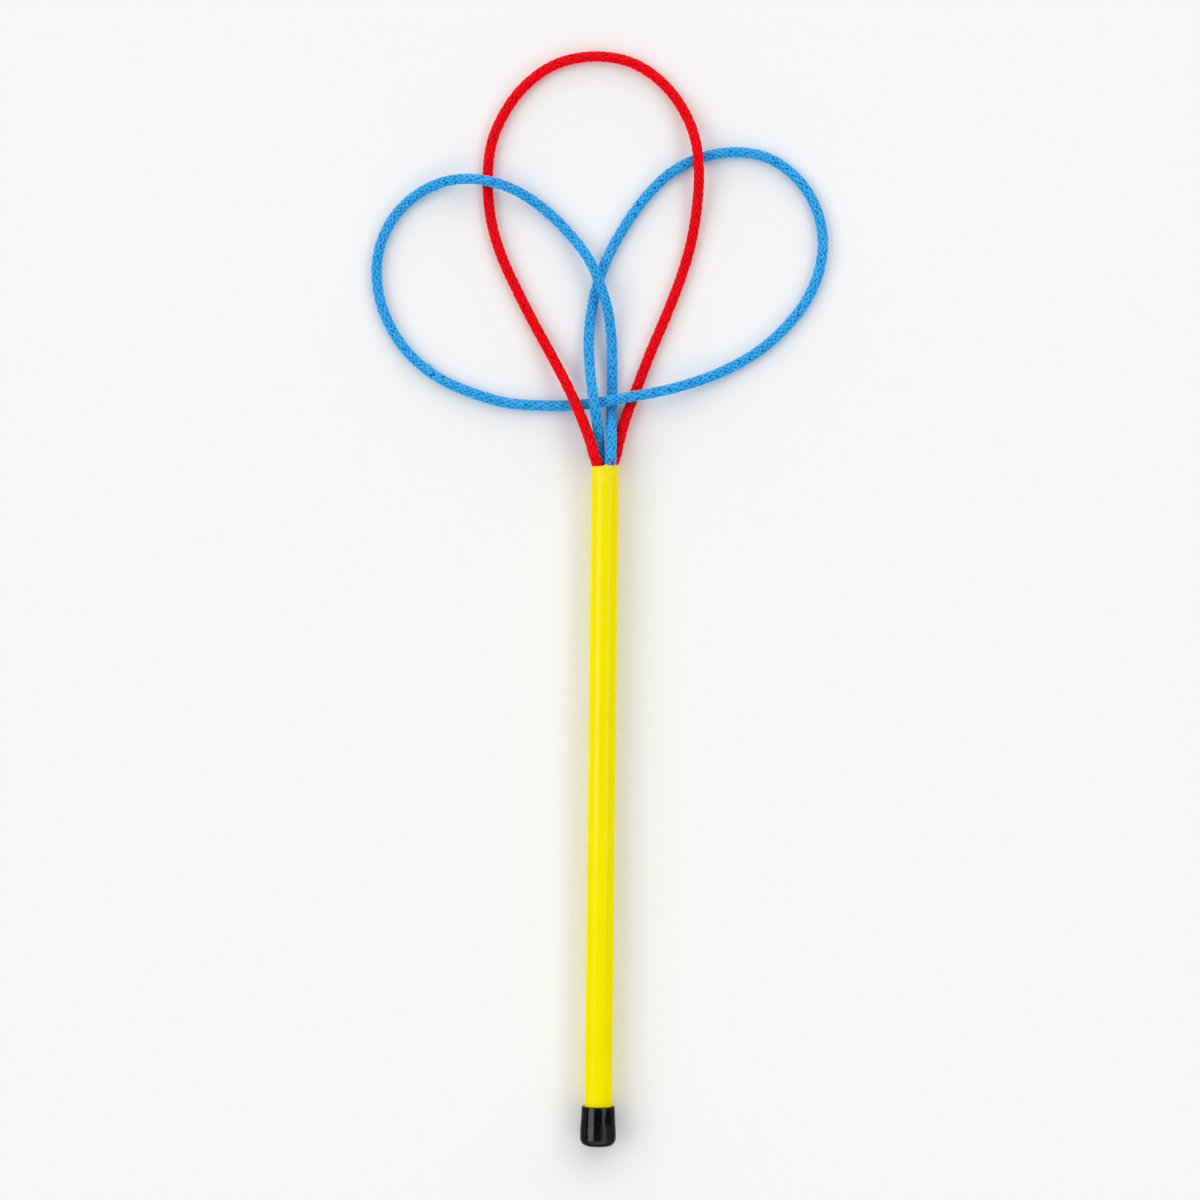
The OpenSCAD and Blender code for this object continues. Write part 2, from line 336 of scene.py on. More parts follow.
@dataclass
class Surface:
    """One or more closed surfaces: quads between rings, and flat faces on the open ends."""

    verts: Array
    quads: Array
    ends: Array
    uv: Array
    values: dict[str, Array] = field(default_factory=dict)

    @classmethod
    def from_rings(
        cls, rings: Array, along: Array, join: Join = Join.OPEN, flip: bool = False
    ) -> "Surface":
        """Joins rings of points into closed skins.

        Vertex (i, j, k) is point k of ring j on strand i. Quad (i, j, k) goes through points k and
        k + 1 of rings j and j + 1, and the last point of a ring is joined to its first. The UV
        map's u runs along the strands, and its v is the share of a turn round them.

        Args:
            rings: strands by rings by points by 3.
            along: u of each ring, and of the first again where the strand closes.
            join: whether the strands are open or closed in themselves.
            flip: True where the points of a ring run the left-handed way round the strand.

        Returns:
            The surface.
        """
        m, n, k = rings.shape[:3]
        rows = n if join is Join.LOOP else n - 1
        i, j, c = np.arange(m)[:, None, None], np.arange(rows)[:, None], np.arange(k)
        corners = [(j, c), (j, c + 1), (j + 1, c + 1), (j + 1, c)]
        if flip:
            corners.reverse()
        quads = np.stack([(i * n + a % n) * k + b % k for a, b in corners], axis=-1).reshape(-1, 4)
        u = np.broadcast_to(along, (m, rows + 1))
        pairs = [np.broadcast_arrays(u[i, a], b / k) for a, b in corners]
        uv = np.stack([np.stack(pair, axis=-1) for pair in pairs], axis=-2).reshape(-1, 2)
        ends = np.zeros((0, k), int)
        if join is Join.OPEN:
            first = np.arange(m)[:, None] * n * k + c
            last = first + (n - 1) * k
            ends = np.concatenate([first, last[:, ::-1]] if flip else [first[:, ::-1], last])
            uv = np.concatenate([uv, np.zeros((ends.size, 2))])
        return cls(rings.reshape(-1, 3), quads, ends, uv)

    def make(self, name: str, material: bpy.types.Material, slot: str, *nodes: str) -> None:
        """Puts the surface into a mesh object that rides on the wand.

        Args:
            name: the piece's name.
            material: its finish.
            slot: not used.
            nodes: the solids that the piece stands for, if any.
        """
        mesh = bpy.data.meshes.new(name)
        mesh.vertices.add(len(self.verts))
        mesh.vertices.foreach_set("co", self.verts.astype(np.float32).ravel())
        loops = np.concatenate([self.quads.ravel(), self.ends.ravel()]).astype(np.int32)
        mesh.loops.add(len(loops))
        mesh.loops.foreach_set("vertex_index", loops)
        q, (e, k) = len(self.quads), self.ends.shape
        starts = np.concatenate([np.arange(q) * 4, q * 4 + np.arange(e) * k]).astype(np.int32)
        mesh.polygons.add(q + e)
        mesh.polygons.foreach_set("loop_start", starts)
        mesh.update(calc_edges=True)
        mesh.polygons.foreach_set("use_smooth", np.arange(q + e) < q)
        layer = mesh.uv_layers.new(name="surface")
        layer.data.foreach_set("uv", self.uv.astype(np.float32).ravel())
        for key, values in self.values.items():
            stored = mesh.attributes.new(key, "FLOAT", "POINT")
            stored.data.foreach_set("value", values.astype(np.float32).ravel())
        mesh.materials.append(material)
        obj = shown(name, mesh)
        if nodes:
            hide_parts(*nodes)
        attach(obj, "root")
        LOG.info("%s: %d triangles", name, 2 * q + e * (k - 2))


def shown(name: str, data: bpy.types.ID) -> bpy.types.Object:
    """Adds an object with some data to the scene.

    Args:
        name: the object's name.
        data: its mesh, lamp or camera.

    Returns:
        The object.
    """
    obj = bpy.data.objects.new(name, data)
    bpy.context.scene.collection.objects.link(obj)
    return obj


def lathe(profile: Array, points: int, join: Join) -> tuple[Array, Array]:
    """Turns a profile round the handle's axis: x and z are its radius times cosine and sine.

    Args:
        profile: rows of radius and height along the handle.
        points: points of each ring.
        join: whether the profile is closed in itself.

    Returns:
        One strand of rings, and each ring's length along the profile in UV units.
    """
    a = angles(points)
    r, y = profile[:, :1], profile[:, 1:]
    rings = np.stack([r * np.cos(a), y + 0 * a, r * np.sin(a)], axis=-1)[None]
    ring = np.concatenate([profile, profile[:1]]) if join is Join.LOOP else profile
    return rings, travelled(ring) * UV_PER_METRE


def swell(rings: Array, grow: Array) -> None:
    """Moves the points of turned rings away from the axis, each by its own length."""
    rings[..., ::2] *= (1 + grow / np.hypot(rings[..., 0], rings[..., 2]))[..., None]


def arc(centre: Range, radius: float, start: float, end: float, count: int) -> Array:
    """Points of a profile on a circle: the centre plus the radius times cosine and sine.

    Args:
        centre: radius and height of the middle.
        radius: the arc's radius.
        start: first angle in degrees.
        end: last angle in degrees.
        count: number of points.

    Returns:
        Rows of radius and height.
    """
    a = np.radians(np.linspace(start, end, count))
    return np.stack([centre[0] + radius * np.cos(a), centre[1] + radius * np.sin(a)], axis=1)


def upright(radius: float, heights: Array) -> Array:
    """Points of a profile at one radius and several heights."""
    return np.stack([np.full(len(heights), radius), heights], axis=1)


# Finishes


class Graph:
    """A material's nodes, added by kind and fed by input."""

    def __init__(self, name: str) -> None:
        """Starts an empty material with one surface shader.

        Args:
            name: the material's name.
        """
        self.material = bpy.data.materials.new(name)
        self.material.use_nodes = True
        self.tree = self.material.node_tree
        self.tree.nodes.clear()
        self.shader = self.add("ShaderNodeBsdfPrincipled")
        self.end = self.add("ShaderNodeOutputMaterial", {"Surface": self.shader.outputs[0]})

    def add(self, kind: str, sources: dict | None = None, **settings: object) -> bpy.types.Node:
        """Adds a node, sets its properties and feeds its inputs.

        Args:
            kind: Blender's name for the node.
            sources: sockets or constants, by the input's name or number.
            settings: the node's properties by name.

        Returns:
            The node.
        """
        node = self.tree.nodes.new(kind)
        for key, value in settings.items():
            setattr(node, key, value)
        self.feed(node, sources or {})
        return node

    def feed(self, node: bpy.types.Node, sources: dict) -> None:
        """Links a node's inputs to sockets, or sets them to constants. A colour's alpha is 1.

        Args:
            node: the receiving node.
            sources: sockets or constants, by the input's name or number.
        """
        for key, source in sources.items():
            to = node.inputs[key]
            if isinstance(source, Socket):
                self.tree.links.new(source, to)
            else:
                to.default_value = (*source, 1.0) if to.type == "RGBA" else source

    def dress(self, **sources: Source) -> None:
        """Feeds the surface shader; underscores in a name stand for spaces."""
        self.feed(self.shader, {key.replace("_", " "): value for key, value in sources.items()})

    def math(self, what: str, a: Source, b: Source = 0.0, c: Source = 0.0) -> Socket:
        """Result of a math node on up to three values."""
        return self.add("ShaderNodeMath", {0: a, 1: b, 2: c}, operation=what).outputs[0]

    def times(self, a: Source, b: Source) -> Socket:
        """Product of two values."""
        return self.math("MULTIPLY", a, b)

    def total(self, start: Source, *terms: tuple[Source, float]) -> Source:
        """A start value plus other values times their shares.

        Args:
            start: the start value.
            terms: pairs of a value and its share.

        Returns:
            The sum.
        """
        for value, share in terms:
            start = self.math("MULTIPLY_ADD", value, share, start)
        return start

    def ramp(self, value: Source, limits: Range, to: Range = (0.0, 1.0)) -> Socket:
        """Smooth step of a value between two limits, scaled to an output range."""
        sources = dict(enumerate((value, *limits, *to)))
        return self.add("ShaderNodeMapRange", sources, interpolation_type="SMOOTHSTEP").outputs[0]

    def mix(self, share: Source, a: Source, b: Source) -> Socket:
        """Blend of two colours by a share."""
        return self.add("ShaderNodeMix", {0: share, 6: a, 7: b}, data_type="RGBA").outputs[2]

    def noise(self, vector: Socket, scale: float = 1.0, detail: float = 2.0) -> Socket:
        """Noise between 0 and 1 at a place."""
        sources = {"Vector": vector, "Scale": scale, "Detail": detail}
        return self.add("ShaderNodeTexNoise", sources).outputs[0]

    def stretched(self, vector: Socket, scale: Triple) -> Socket:
        """Coordinates scaled along each axis."""
        return self.add("ShaderNodeMapping", {"Vector": vector, "Scale": scale}).outputs[0]

    def place(self) -> Socket:
        """Object coordinates, in metres."""
        return self.add("ShaderNodeTexCoord").outputs["Object"]

    def surface(self) -> Socket:
        """The piece's own UV map."""
        return self.add("ShaderNodeUVMap", uv_map="surface").outputs[0]

    def value_of(self, name: str) -> Socket:
        """A number stored on the piece's points."""
        return self.add("ShaderNodeAttribute", attribute_name=name).outputs["Fac"]

    def parts(self, vector: Socket) -> tuple[Socket, Socket, Socket]:
        """The x, y and z of a vector."""
        return tuple(self.add("ShaderNodeSeparateXYZ", {0: vector}).outputs)

    def slant(self, limits: Range, to: Range) -> Socket:
        """Smooth step of how much the surface is seen at a slant, for its gloss."""
        return self.ramp(self.add("ShaderNodeLayerWeight").outputs["Facing"], limits, to)

    def bump(self, height: Source, depth: float, before: Socket | None = None) -> Socket:
        """Normal tilted by a height, after an earlier bump if there is one."""
        sources = {"Height": height, "Strength": 1.0, "Distance": depth}
        return self.add("ShaderNodeBump", sources | ({"Normal": before} if before else {})).outputs[0]


def from_screen(red: int, green: int, blue: int) -> Colour:
    """A colour as a screen shows it, 0 to 255, turned into linear light by the sRGB curve.

    Args:
        red: the screen's red.
        green: the screen's green.
        blue: the screen's blue.

    Returns:
        The colour in linear light.
    """
    c = np.array([red, green, blue]) / 255
    linear = np.where(c <= 0.04045, c / 12.92, ((c + 0.055) / 1.055) ** 2.4)
    return tuple(float(v) for v in linear)


@dataclass(frozen=True)
class YarnFinish:
    """Dyed cotton yarn of a braided rope. The twist is in turns of a ply to the centimetre."""

    name: str
    face: Colour
    # Painted shade: the yarn's colour in its hollows and the filler's colour under the braid.
    deep: Colour
    # Painted highlight on the crests; it also tints the sheen and the loose fibres.
    bright: Colour
    sheen: float = 0.12
    gloss: float = 0.1
    plies: float = 3.0
    twist: float = 5.0
    fibre_scale: Triple = (14.0, 30.0, 1.0)
    blotch_scale: float = 260.0
    hollow_shade_share: float = 0.8
    ply_shade_share: float = 0.4
    blotch_share: float = 0.3
    tint_share: float = 0.1
    shade_limits: Range = (-0.1, 0.9)
    highlight_limits: Range = (0.36, 0.85)
    fibre_limits: Range = (0.3, 0.7)
    roughness: Range = (0.72, 0.5)
    fibre_depth: float = 0.00006
    ply_depth: float = 0.00012

    def material(self) -> bpy.types.Material:
        """Yarn with painted shade in its hollows and grooves, and a painted highlight on its crests.

        Its plies are sines that run slantwise round it, and its fibres are noise drawn out along it.

        Returns:
            The material.
        """
        g = Graph(self.name)
        uv = g.surface()
        along, around, _ = g.parts(uv)
        turn = g.total(0.0, (along, self.twist), (around, self.plies))
        ply = g.math("ABSOLUTE", g.math("SINE", g.times(turn, float(np.pi))))
        fibre = g.noise(g.stretched(uv, self.fibre_scale), detail=3.0)
        # Painted shade: the weave's lift and the plies darken hollows and grooves and lighten crests;
        # the blotches and the tint are random tone.
        shade = g.total(
            -self.blotch_share / 2,
            (g.value_of("lift"), self.hollow_shade_share), (ply, self.ply_shade_share),
            (g.noise(g.place(), self.blotch_scale), self.blotch_share),
            (g.value_of("tint"), self.tint_share),
        )
        # The body runs from the deep colour, which is painted shade, to the face.
        body = g.mix(g.ramp(shade, self.shade_limits), self.deep, self.face)
        g.dress(
            # Painted highlight: the bright colour where the fibres of the crests catch the light.
            Base_Color=g.mix(g.ramp(g.times(fibre, shade), self.highlight_limits), body, self.bright),
            Roughness=g.ramp(fibre, self.fibre_limits, self.roughness),
            Sheen_Weight=self.sheen, Sheen_Roughness=0.4, Sheen_Tint=self.bright,
            Specular_IOR_Level=self.gloss,
            Normal=g.bump(fibre, self.fibre_depth, g.bump(ply, self.ply_depth)),
        )
        return g.material

    def fibres(self) -> bpy.types.Material:
        """Loose cotton fibres: the rope's bright colour, a little uneven, and dull.

        Returns:
            The material.
        """
        g = Graph(self.name + "_fibres")
        g.dress(
            Base_Color=g.mix(g.noise(g.place(), 400.0), self.face, self.bright), Roughness=0.85,
            Sheen_Weight=self.sheen, Sheen_Tint=self.bright, Specular_IOR_Level=self.gloss,
        )
        return g.material

    def filler(self) -> bpy.types.Material:
        """Yarns under the braid, in painted shade: the deep colour with fine lengthwise lines.

        Returns:
            The material.
        """
        g = Graph(self.name + "_filler")
        lines = g.noise(g.stretched(g.surface(), (4.0, 40.0, 1.0)))
        # Painted shade: the filler takes the deep colour and a darker copy of it, mixed along the
        # lines.
        darker_shade = tuple(c * 0.75 for c in self.deep)
        g.dress(Base_Color=g.mix(lines, darker_shade, self.deep), Roughness=0.9, Normal=g.bump(lines, 0.0001))
        return g.material


@dataclass(frozen=True)
class TubeFinish:
    """Glossy extruded plastic, scuffed at the mouth."""

    face: Colour = from_screen(250, 234, 0)
    side: Colour = from_screen(243, 226, 0)
    scuff: Colour = from_screen(232, 224, 138)
    scuff_len: float = 0.016
    scuff_share: float = 0.62
    speck_scale: Triple = (900.0, 420.0, 900.0)
    speck_limits: Range = (0.55, 0.68)
    line_scale: Triple = (0.04, 70.0, 1.0)
    cloud_scale: float = 40.0
    cloud_share: float = 0.5
    patch_scale: Triple = (6.0, 120.0, 6.0)
    patch_limits: Range = (0.42, 0.62)
    smoothest: float = 0.14
    dullness: float = 0.1
    slant_limits: Range = (0.1, 0.4)
    slant_gloss: Range = (1.0, 0.1)
    gloss_heights: Range = (0.10, 0.20)
    gloss: Range = (0.06, 0.24)
    line_depth: float = 0.00001
    scuff_depth: float = 0.00004

    def material(self) -> bpy.types.Material:
        """Plastic with faint lengthwise extrusion lines and pale scuffs at the mouth.

        Its gloss comes and goes along the tube, and is less where it is seen at a slant.

        Returns:
            The material.
        """
        g = Graph("yellow_plastic")
        where = g.place()
        y = g.parts(where)[1]
        lines = g.noise(g.stretched(g.surface(), self.line_scale), detail=3.0)
        cloud = g.noise(where, self.cloud_scale)
        patches = g.noise(g.stretched(where, self.patch_scale), detail=3.0)
        specks = g.ramp(g.noise(g.stretched(where, self.speck_scale), detail=4.0), self.speck_limits)
        near_mouth = g.ramp(y, (SIZES.mouth_y - self.scuff_len, SIZES.mouth_y))
        marks = g.times(specks, g.times(near_mouth, self.scuff_share))
        streaks = g.ramp(g.total(lines, (cloud, self.cloud_share)), (0.5, 1.0))
        dull = g.total(self.smoothest, (near_mouth, self.dullness))
        skin = g.bump(lines, self.line_depth, g.bump(cloud, self.line_depth))
        g.dress(
            Base_Color=g.mix(marks, g.mix(streaks, self.side, self.face), self.scuff),
            Roughness=g.total(dull, (g.ramp(patches, self.patch_limits), self.dullness)),
            Specular_IOR_Level=g.times(
                g.slant(self.slant_limits, self.slant_gloss), g.ramp(y, self.gloss_heights, self.gloss)
            ),
            Normal=g.bump(marks, self.scuff_depth, skin),
        )
        return g.material


@dataclass(frozen=True)
class VinylFinish:
    """Glossy black vinyl of the end cap."""

    face: Colour = (0.001, 0.001, 0.0012)
    dust: Colour = (0.005, 0.005, 0.0055)
    peel_scale: float = 1400.0
    peel_depth: float = 0.000012
    dent_scale: float = 150.0
    dent_depth: float = 0.0001
    dust_scale: float = 700.0
    dust_limits: Range = (0.5, 0.8)
    dust_share: Range = (0.0, 0.5)
    dull_limits: Range = (0.35, 0.75)
    roughness: Range = (0.12, 0.22)
    rubbed_sides: Range = (0.0, 0.002)
    rubbed_heights: Range = (0.009, 0.014)
    rubbed: Range = (0.16, 0.0)
    slant_limits: Range = (0.14, 0.42)
    gloss: Range = (0.5, 0.04)

    def material(self) -> bpy.types.Material:
        """Vinyl: nearly black, with a fine orange peel, soft dents and a trace of dust.

        It has less gloss at a slant, and a patch low on its right is rubbed dull.

        Returns:
            The material.
        """
        g = Graph("black_vinyl")
        where = g.place()
        x, y, _ = g.parts(where)
        peel, dents = g.noise(where, self.peel_scale, 1.0), g.noise(where, self.dent_scale, 1.0)
        dust = g.noise(where, self.dust_scale, 4.0)
        patch = g.times(g.ramp(x, self.rubbed_sides), g.ramp(y, self.rubbed_heights, self.rubbed))
        g.dress(
            Base_Color=g.mix(g.ramp(dust, self.dust_limits, self.dust_share), self.face, self.dust),
            Roughness=g.math("ADD", patch, g.ramp(dust, self.dull_limits, self.roughness)),
            Specular_IOR_Level=g.slant(self.slant_limits, self.gloss),
            Normal=g.bump(peel, self.peel_depth, g.bump(dents, self.dent_depth)),
        )
        return g.material


@dataclass(frozen=True)
class GlueFinish:
    """Cloudy hot-melt glue."""

    face: Colour = from_screen(224, 221, 196)
    haze: Colour = from_screen(196, 190, 160)
    haze_scale: float = 900.0

    def material(self) -> bpy.types.Material:
        """Glue: milky, with slow haze and a soft wavy skin.

        Returns:
            The material.
        """
        g = Graph("cloudy_glue")
        haze = g.noise(g.place(), self.haze_scale, 3.0)
        g.dress(
            Base_Color=g.mix(haze, self.haze, self.face),
            Roughness=g.ramp(haze, (0.3, 0.7), (0.25, 0.45)),
            Subsurface_Weight=0.4, Subsurface_Radius=(0.001, 0.001, 0.0008), Subsurface_Scale=1.0,
            Normal=g.bump(haze, 0.0001),
        )
        return g.material


@dataclass(frozen=True)
class WireFinish:
    """Drawn spring wire."""

    face: Colour = (0.52, 0.53, 0.55)
    stain: Colour = (0.3, 0.28, 0.26)
    stain_scale: float = 500.0

    def material(self) -> bpy.types.Material:
        """Wire: bright steel with faint stains.

        Returns:
            The material.
        """
        g = Graph("spring_wire")
        spots = g.noise(g.place(), self.stain_scale, 4.0)
        g.dress(
            Base_Color=g.mix(g.ramp(spots, (0.5, 0.8)), self.face, self.stain), Metallic=1.0,
            Roughness=g.ramp(spots, (0.3, 0.7), (0.25, 0.45)), Normal=g.bump(spots, 0.00002),
        )
        return g.material


# Ropes


class Way(Enum):
    """Which way round the rope a set of yarns winds."""

    RIGHT = 1
    LEFT = -1


class Draw(Enum):
    """What random values are for, added to a rope's seed. The yarns add their way."""

    SWAY = 3
    FUZZ = 7
    TUFTS = 13


@dataclass(frozen=True)
class Braid:
    """Make of the rope: six bundles wind each way, of two yarns each, over one and under one.

    What wanders along it has a size and, ending in len, the length from one random value to the
    next. Square is how flat the tops of the weave are, and flare how much wider a yarn is there.
    """

    bundles: int = 6
    ends: int = 2
    closeness: float = 0.9
    lag: float = 0.25
    square: float = 2.2
    flare: float = 0.12
    middle_r: float = 0.00185
    weave: float = 0.00042
    half_width: float = 0.00047
    half_thick: float = 0.00041
    sides: int = 8
    filler_r: float = 0.00155
    filler_sides: int = 16
    filler_step: int = 3
    swell: float = 0.07
    swell_len: float = 0.014
    sway: float = 0.5
    sway_len: float = 0.09
    slip: float = 0.042
    slip_len: float = 0.02
    puff: float = 0.06
    puff_len: float = 0.006
    tint: float = 0.7
    tint_len: float = 0.012


@dataclass(frozen=True)
class Fluff:
    """Make of the loose fibres: their shape, the fuzz's lengths, and how tufts are gathered.

    Root, taper and shortest are shares: of the rope's radius, the fibre's radius and its length.
    The scatter is in rings. Where ropes cross, one that is raised counts as nearer by the favour.
    """

    steps: int = 6
    sides: int = 3
    root: float = 0.9
    lean: float = 0.7
    bend: Range = (0.2, 0.9)
    taper: float = 0.7
    fuzz_shape: float = 2.2
    fuzz_len: float = 0.00032
    fuzz_limits: Range = (0.0002, 0.0024)
    fuzz_rise: float = 0.75
    fuzz_r: float = 0.00002
    fuzz_from: float = 0.001
    tuft_r: float = 0.00004
    scatter: float = 1.6
    shortest: float = 0.4
    raised: float = 0.004
    favour: float = 0.002


@dataclass(frozen=True)
class Tuft:
    """A pinch of loose fibres, at a place on the rope given by its x and y.

    Its side is the angle round the rope in degrees, from the left of the way it runs up over its
    top. Its finish is named where its fibres come from another rope.
    """

    x: float
    y: float
    count: int
    length: float
    side: float = 0.0
    finish: str = ""
    spread: float = 0.3
    rise: float = 0.9


@dataclass
class BraidedRope:
    """One rope: its two sets of yarns, the filler under them and the fuzz on them."""

    name: str
    node: str
    route: RopeRoute
    finish: YarnFinish
    lay: float
    seed: int
    stretches: int
    fuzz: int
    tufts: tuple[Tuft, ...] = ()
    braid: Braid = Braid()
    fluff: Fluff = Fluff()

    def __post_init__(self) -> None:
        """Works out the line and, at each ring, the unit vectors along, across and up from it.

        The last two sway slowly round the line, as the weave does in a rope that has been handled.
        Above the mouth the braid is loose: the radius gains the swell times a bell curve of the
        height.
        """
        b = self.braid
        self.line, self.radius = self.route.line()
        above = self.line[:, 1] - SIZES.mouth_y
        bell = np.exp(-(((above - b.swell_len) / b.swell_len) ** 2))
        self.radius = self.radius * (1 + b.swell * np.where(above > 0, bell, 0))
        self.arc = np.arange(len(self.line)) * self.route.step
        self.along = unit(np.gradient(self.line, axis=0))
        level = unit(np.cross(self.along, UP))
        raised = np.cross(level, self.along)
        self.sway = self._wander(self._source(Draw.SWAY), b.sway, b.sway_len)[0]
        turn = self.sway[:, None]
        self.across = level * np.cos(turn) + raised * np.sin(turn)
        self.lift = raised * np.cos(turn) - level * np.sin(turn)

    def _source(self, what: Draw | Way) -> np.random.Generator:
        """A fresh source of random values of one kind."""
        return np.random.default_rng(self.seed + what.value)

    def _wander(self, rng: np.random.Generator, size: float, length: float, rows: int = 1) -> Array:
        """Slow random curves along the rope, with a random value at every length."""
        return wander(rng, len(self.line), int(self.arc[-1] / length), size, rows)

    def _outward(self, angle: Array, rows: Array | slice = slice(None)) -> Array:
        """Unit vectors out of the rope: across times an angle's cosine plus lift times its sine."""
        cosine, sine = np.cos(angle)[..., None], np.sin(angle)[..., None]
        return self.across[rows] * cosine + self.lift[rows] * sine

    def _yarns(self, way: Way) -> tuple[Array, Array, Array]:
        """Rings of one set of yarns.

        A bundle stands at the angle 2 pi times its number over the bundles, plus or minus 2 pi
        times arc over lay, and its yarns a little to each side of that. A yarn's distance from
        the rope's line is the middle radius plus the weave times a squared-off cosine of the
        bundles times its angle less the lag times its offset in the bundle, with the opposite
        sign for the other set, so that each bundle goes over one and under one of the others. A
        yarn's section is an oval, sides across and thickness outwards, and all scales with the
        rope's radius.

        Args:
            way: which set.

        Returns:
            Yarns by rings by sides by 3, then the weave's share and the yarn's tint, per ring.
        """
        b = self.braid
        rng = self._source(way)
        count = b.bundles * b.ends
        k = np.arange(count)[:, None]
        offset = (k % b.ends - (b.ends - 1) / 2) * b.closeness * 2 * np.pi / count
        turn = 2 * np.pi * (k // b.ends / b.bundles + way.value * self.arc / self.lay)
        angle = turn + offset + self._wander(rng, b.slip, b.slip_len, count)
        wave = np.cos(b.bundles * (angle - b.lag * offset))
        over = way.value * np.tanh(b.square * wave) / np.tanh(b.square)
        scale = (self.radius / (SIZES.rope_d / 2))[None]
        puff = 1 + self._wander(rng, b.puff, b.puff_len, count)
        out = self._outward(angle)
        middle = self.line + out * ((b.middle_r + b.weave * over) * scale)[..., None]
        along = unit(np.gradient(middle, axis=1))
        side = unit(np.cross(out, along))
        normal = np.cross(along, side)
        a = angles(b.sides)[:, None]
        wide = (b.half_width * (1 + b.flare * over) * puff * scale)[..., None, None]
        thick = (b.half_thick * scale)[..., None, None]
        rings = side[:, :, None] * wide * np.cos(a) + normal[:, :, None] * thick * np.sin(a)
        rings += middle[:, :, None]
        rings[..., 2] = np.maximum(rings[..., 2], -SIZES.band_r)
        tint = rng.normal(0, b.tint, (count, 1)) + self._wander(rng, b.tint, b.tint_len, count)
        return rings, over, tint

    def weave(self) -> None:
        """Makes both sets of yarns, cut into stretches so that no mesh is too large."""
        material = self.finish.material()
        cuts = np.linspace(0, len(self.line) - 1, self.stretches + 1).astype(int)
        for way in Way:
            rings, over, tint = self._yarns(way)
            for i, (start, stop) in enumerate(zip(cuts[:-1], cuts[1:])):
                rows = slice(start, stop + 1)
                surface = Surface.from_rings(rings[:, rows], self.arc[rows] * UV_PER_METRE)
                # The lift is the weave's over-and-under share, which the yarn's material turns into
                # painted shade in the hollows and lighter crests.
                for key, values in (("lift", over), ("tint", tint)):
                    surface.values[key] = np.repeat(values[:, rows].ravel(), self.braid.sides)
                first = way is Way.RIGHT and i == 0
                name = f"{self.name}_yarns_{way.name.lower()}_{i + 1}"
                surface.make(name, material, self.node, *([self.node] if first else []))

    def fill(self) -> None:
        """Makes the filler under the braid: a tube along the line, scaled with the rope."""
        b = self.braid
        rows = slice(None, None, b.filler_step)
        a = angles(b.filler_sides)[:, None]
        scale = (self.radius[rows] / (SIZES.rope_d / 2))[:, None, None]
        spoke = self.across[rows, None] * np.cos(a) - self.lift[rows, None] * np.sin(a)
        rings = (self.line[rows, None] + spoke * b.filler_r * scale)[None]
        surface = Surface.from_rings(rings, self.arc[rows] * UV_PER_METRE)
        surface.make(self.name + "_filler", self.finish.filler(), self.node)

    def _hairs(
        self, rng: np.random.Generator, rows: Array, angle: Array, length: Array,
        rise: float, thin: float,
    ) -> Surface:
        """Loose fibres, along which t goes from 0 to 1.

        Each is its root plus its direction times length times t, plus a random bend times half
        the length times t squared.

        Args:
            rng: source of the directions.
            rows: the ring that each hair grows from.
            angle: its place round the rope.
            length: its length.
            rise: how much it stands up, from 0, lying along the rope, to 1.
            thin: radius at its root.

        Returns:
            The hairs as thin strands.
        """
        n, make = len(rows), self.fluff
        out = self._outward(angle, rows)
        jitter = self.along[rows] * rng.uniform(-0.5, 0.5, (n, 1)) * self.route.step
        root = self.line[rows] + jitter + out * (self.radius[rows] * make.root)[:, None]
        round_it = np.cross(self.along[rows], out)
        lean = self.along[rows] * rng.normal(0, 1, (n, 1)) + round_it * rng.normal(0, 1, (n, 1))
        start = unit(out * rise + lean * make.lean)
        bend = unit(rng.normal(0, 1, (n, 3))) * rng.uniform(*make.bend, (n, 1))
        t = np.linspace(0, 1, make.steps)[None, :, None]
        size = length[:, None, None]
        path = root[:, None] + start[:, None] * size * t + bend[:, None] * size * t * t * 0.5
        path[..., 2] = np.maximum(path[..., 2], thin - SIZES.band_r)
        along = unit(np.gradient(path, axis=1) + 1e-9)
        side = unit(np.cross(along, unit(rng.normal(0, 1, (n, 1, 3)))))
        up = np.cross(along, side)
        a = angles(make.sides)[:, None]
        ring = side[:, :, None] * np.cos(a) + up[:, :, None] * np.sin(a)
        rings = path[:, :, None] + ring * (thin * (1 - make.taper * t))[..., None]
        return Surface.from_rings(rings, t[..., 0])

    def fuzz_over(self) -> None:
        """Makes the fuzz: short fibres spread evenly over the rope outside the handle."""
        make, n = self.fluff, self.fuzz
        rng = self._source(Draw.FUZZ)
        free = np.flatnonzero(self.line[:, 1] > SIZES.mouth_y + make.fuzz_from)
        rows = rng.choice(free, n)
        length = np.clip(rng.gamma(make.fuzz_shape, make.fuzz_len, n), *make.fuzz_limits)
        angle = rng.uniform(0, 2 * np.pi, n)
        hairs = self._hairs(rng, rows, angle, length, make.fuzz_rise, make.fuzz_r)
        hairs.make(self.name + "_fuzz", self.finish.fibres(), self.node)

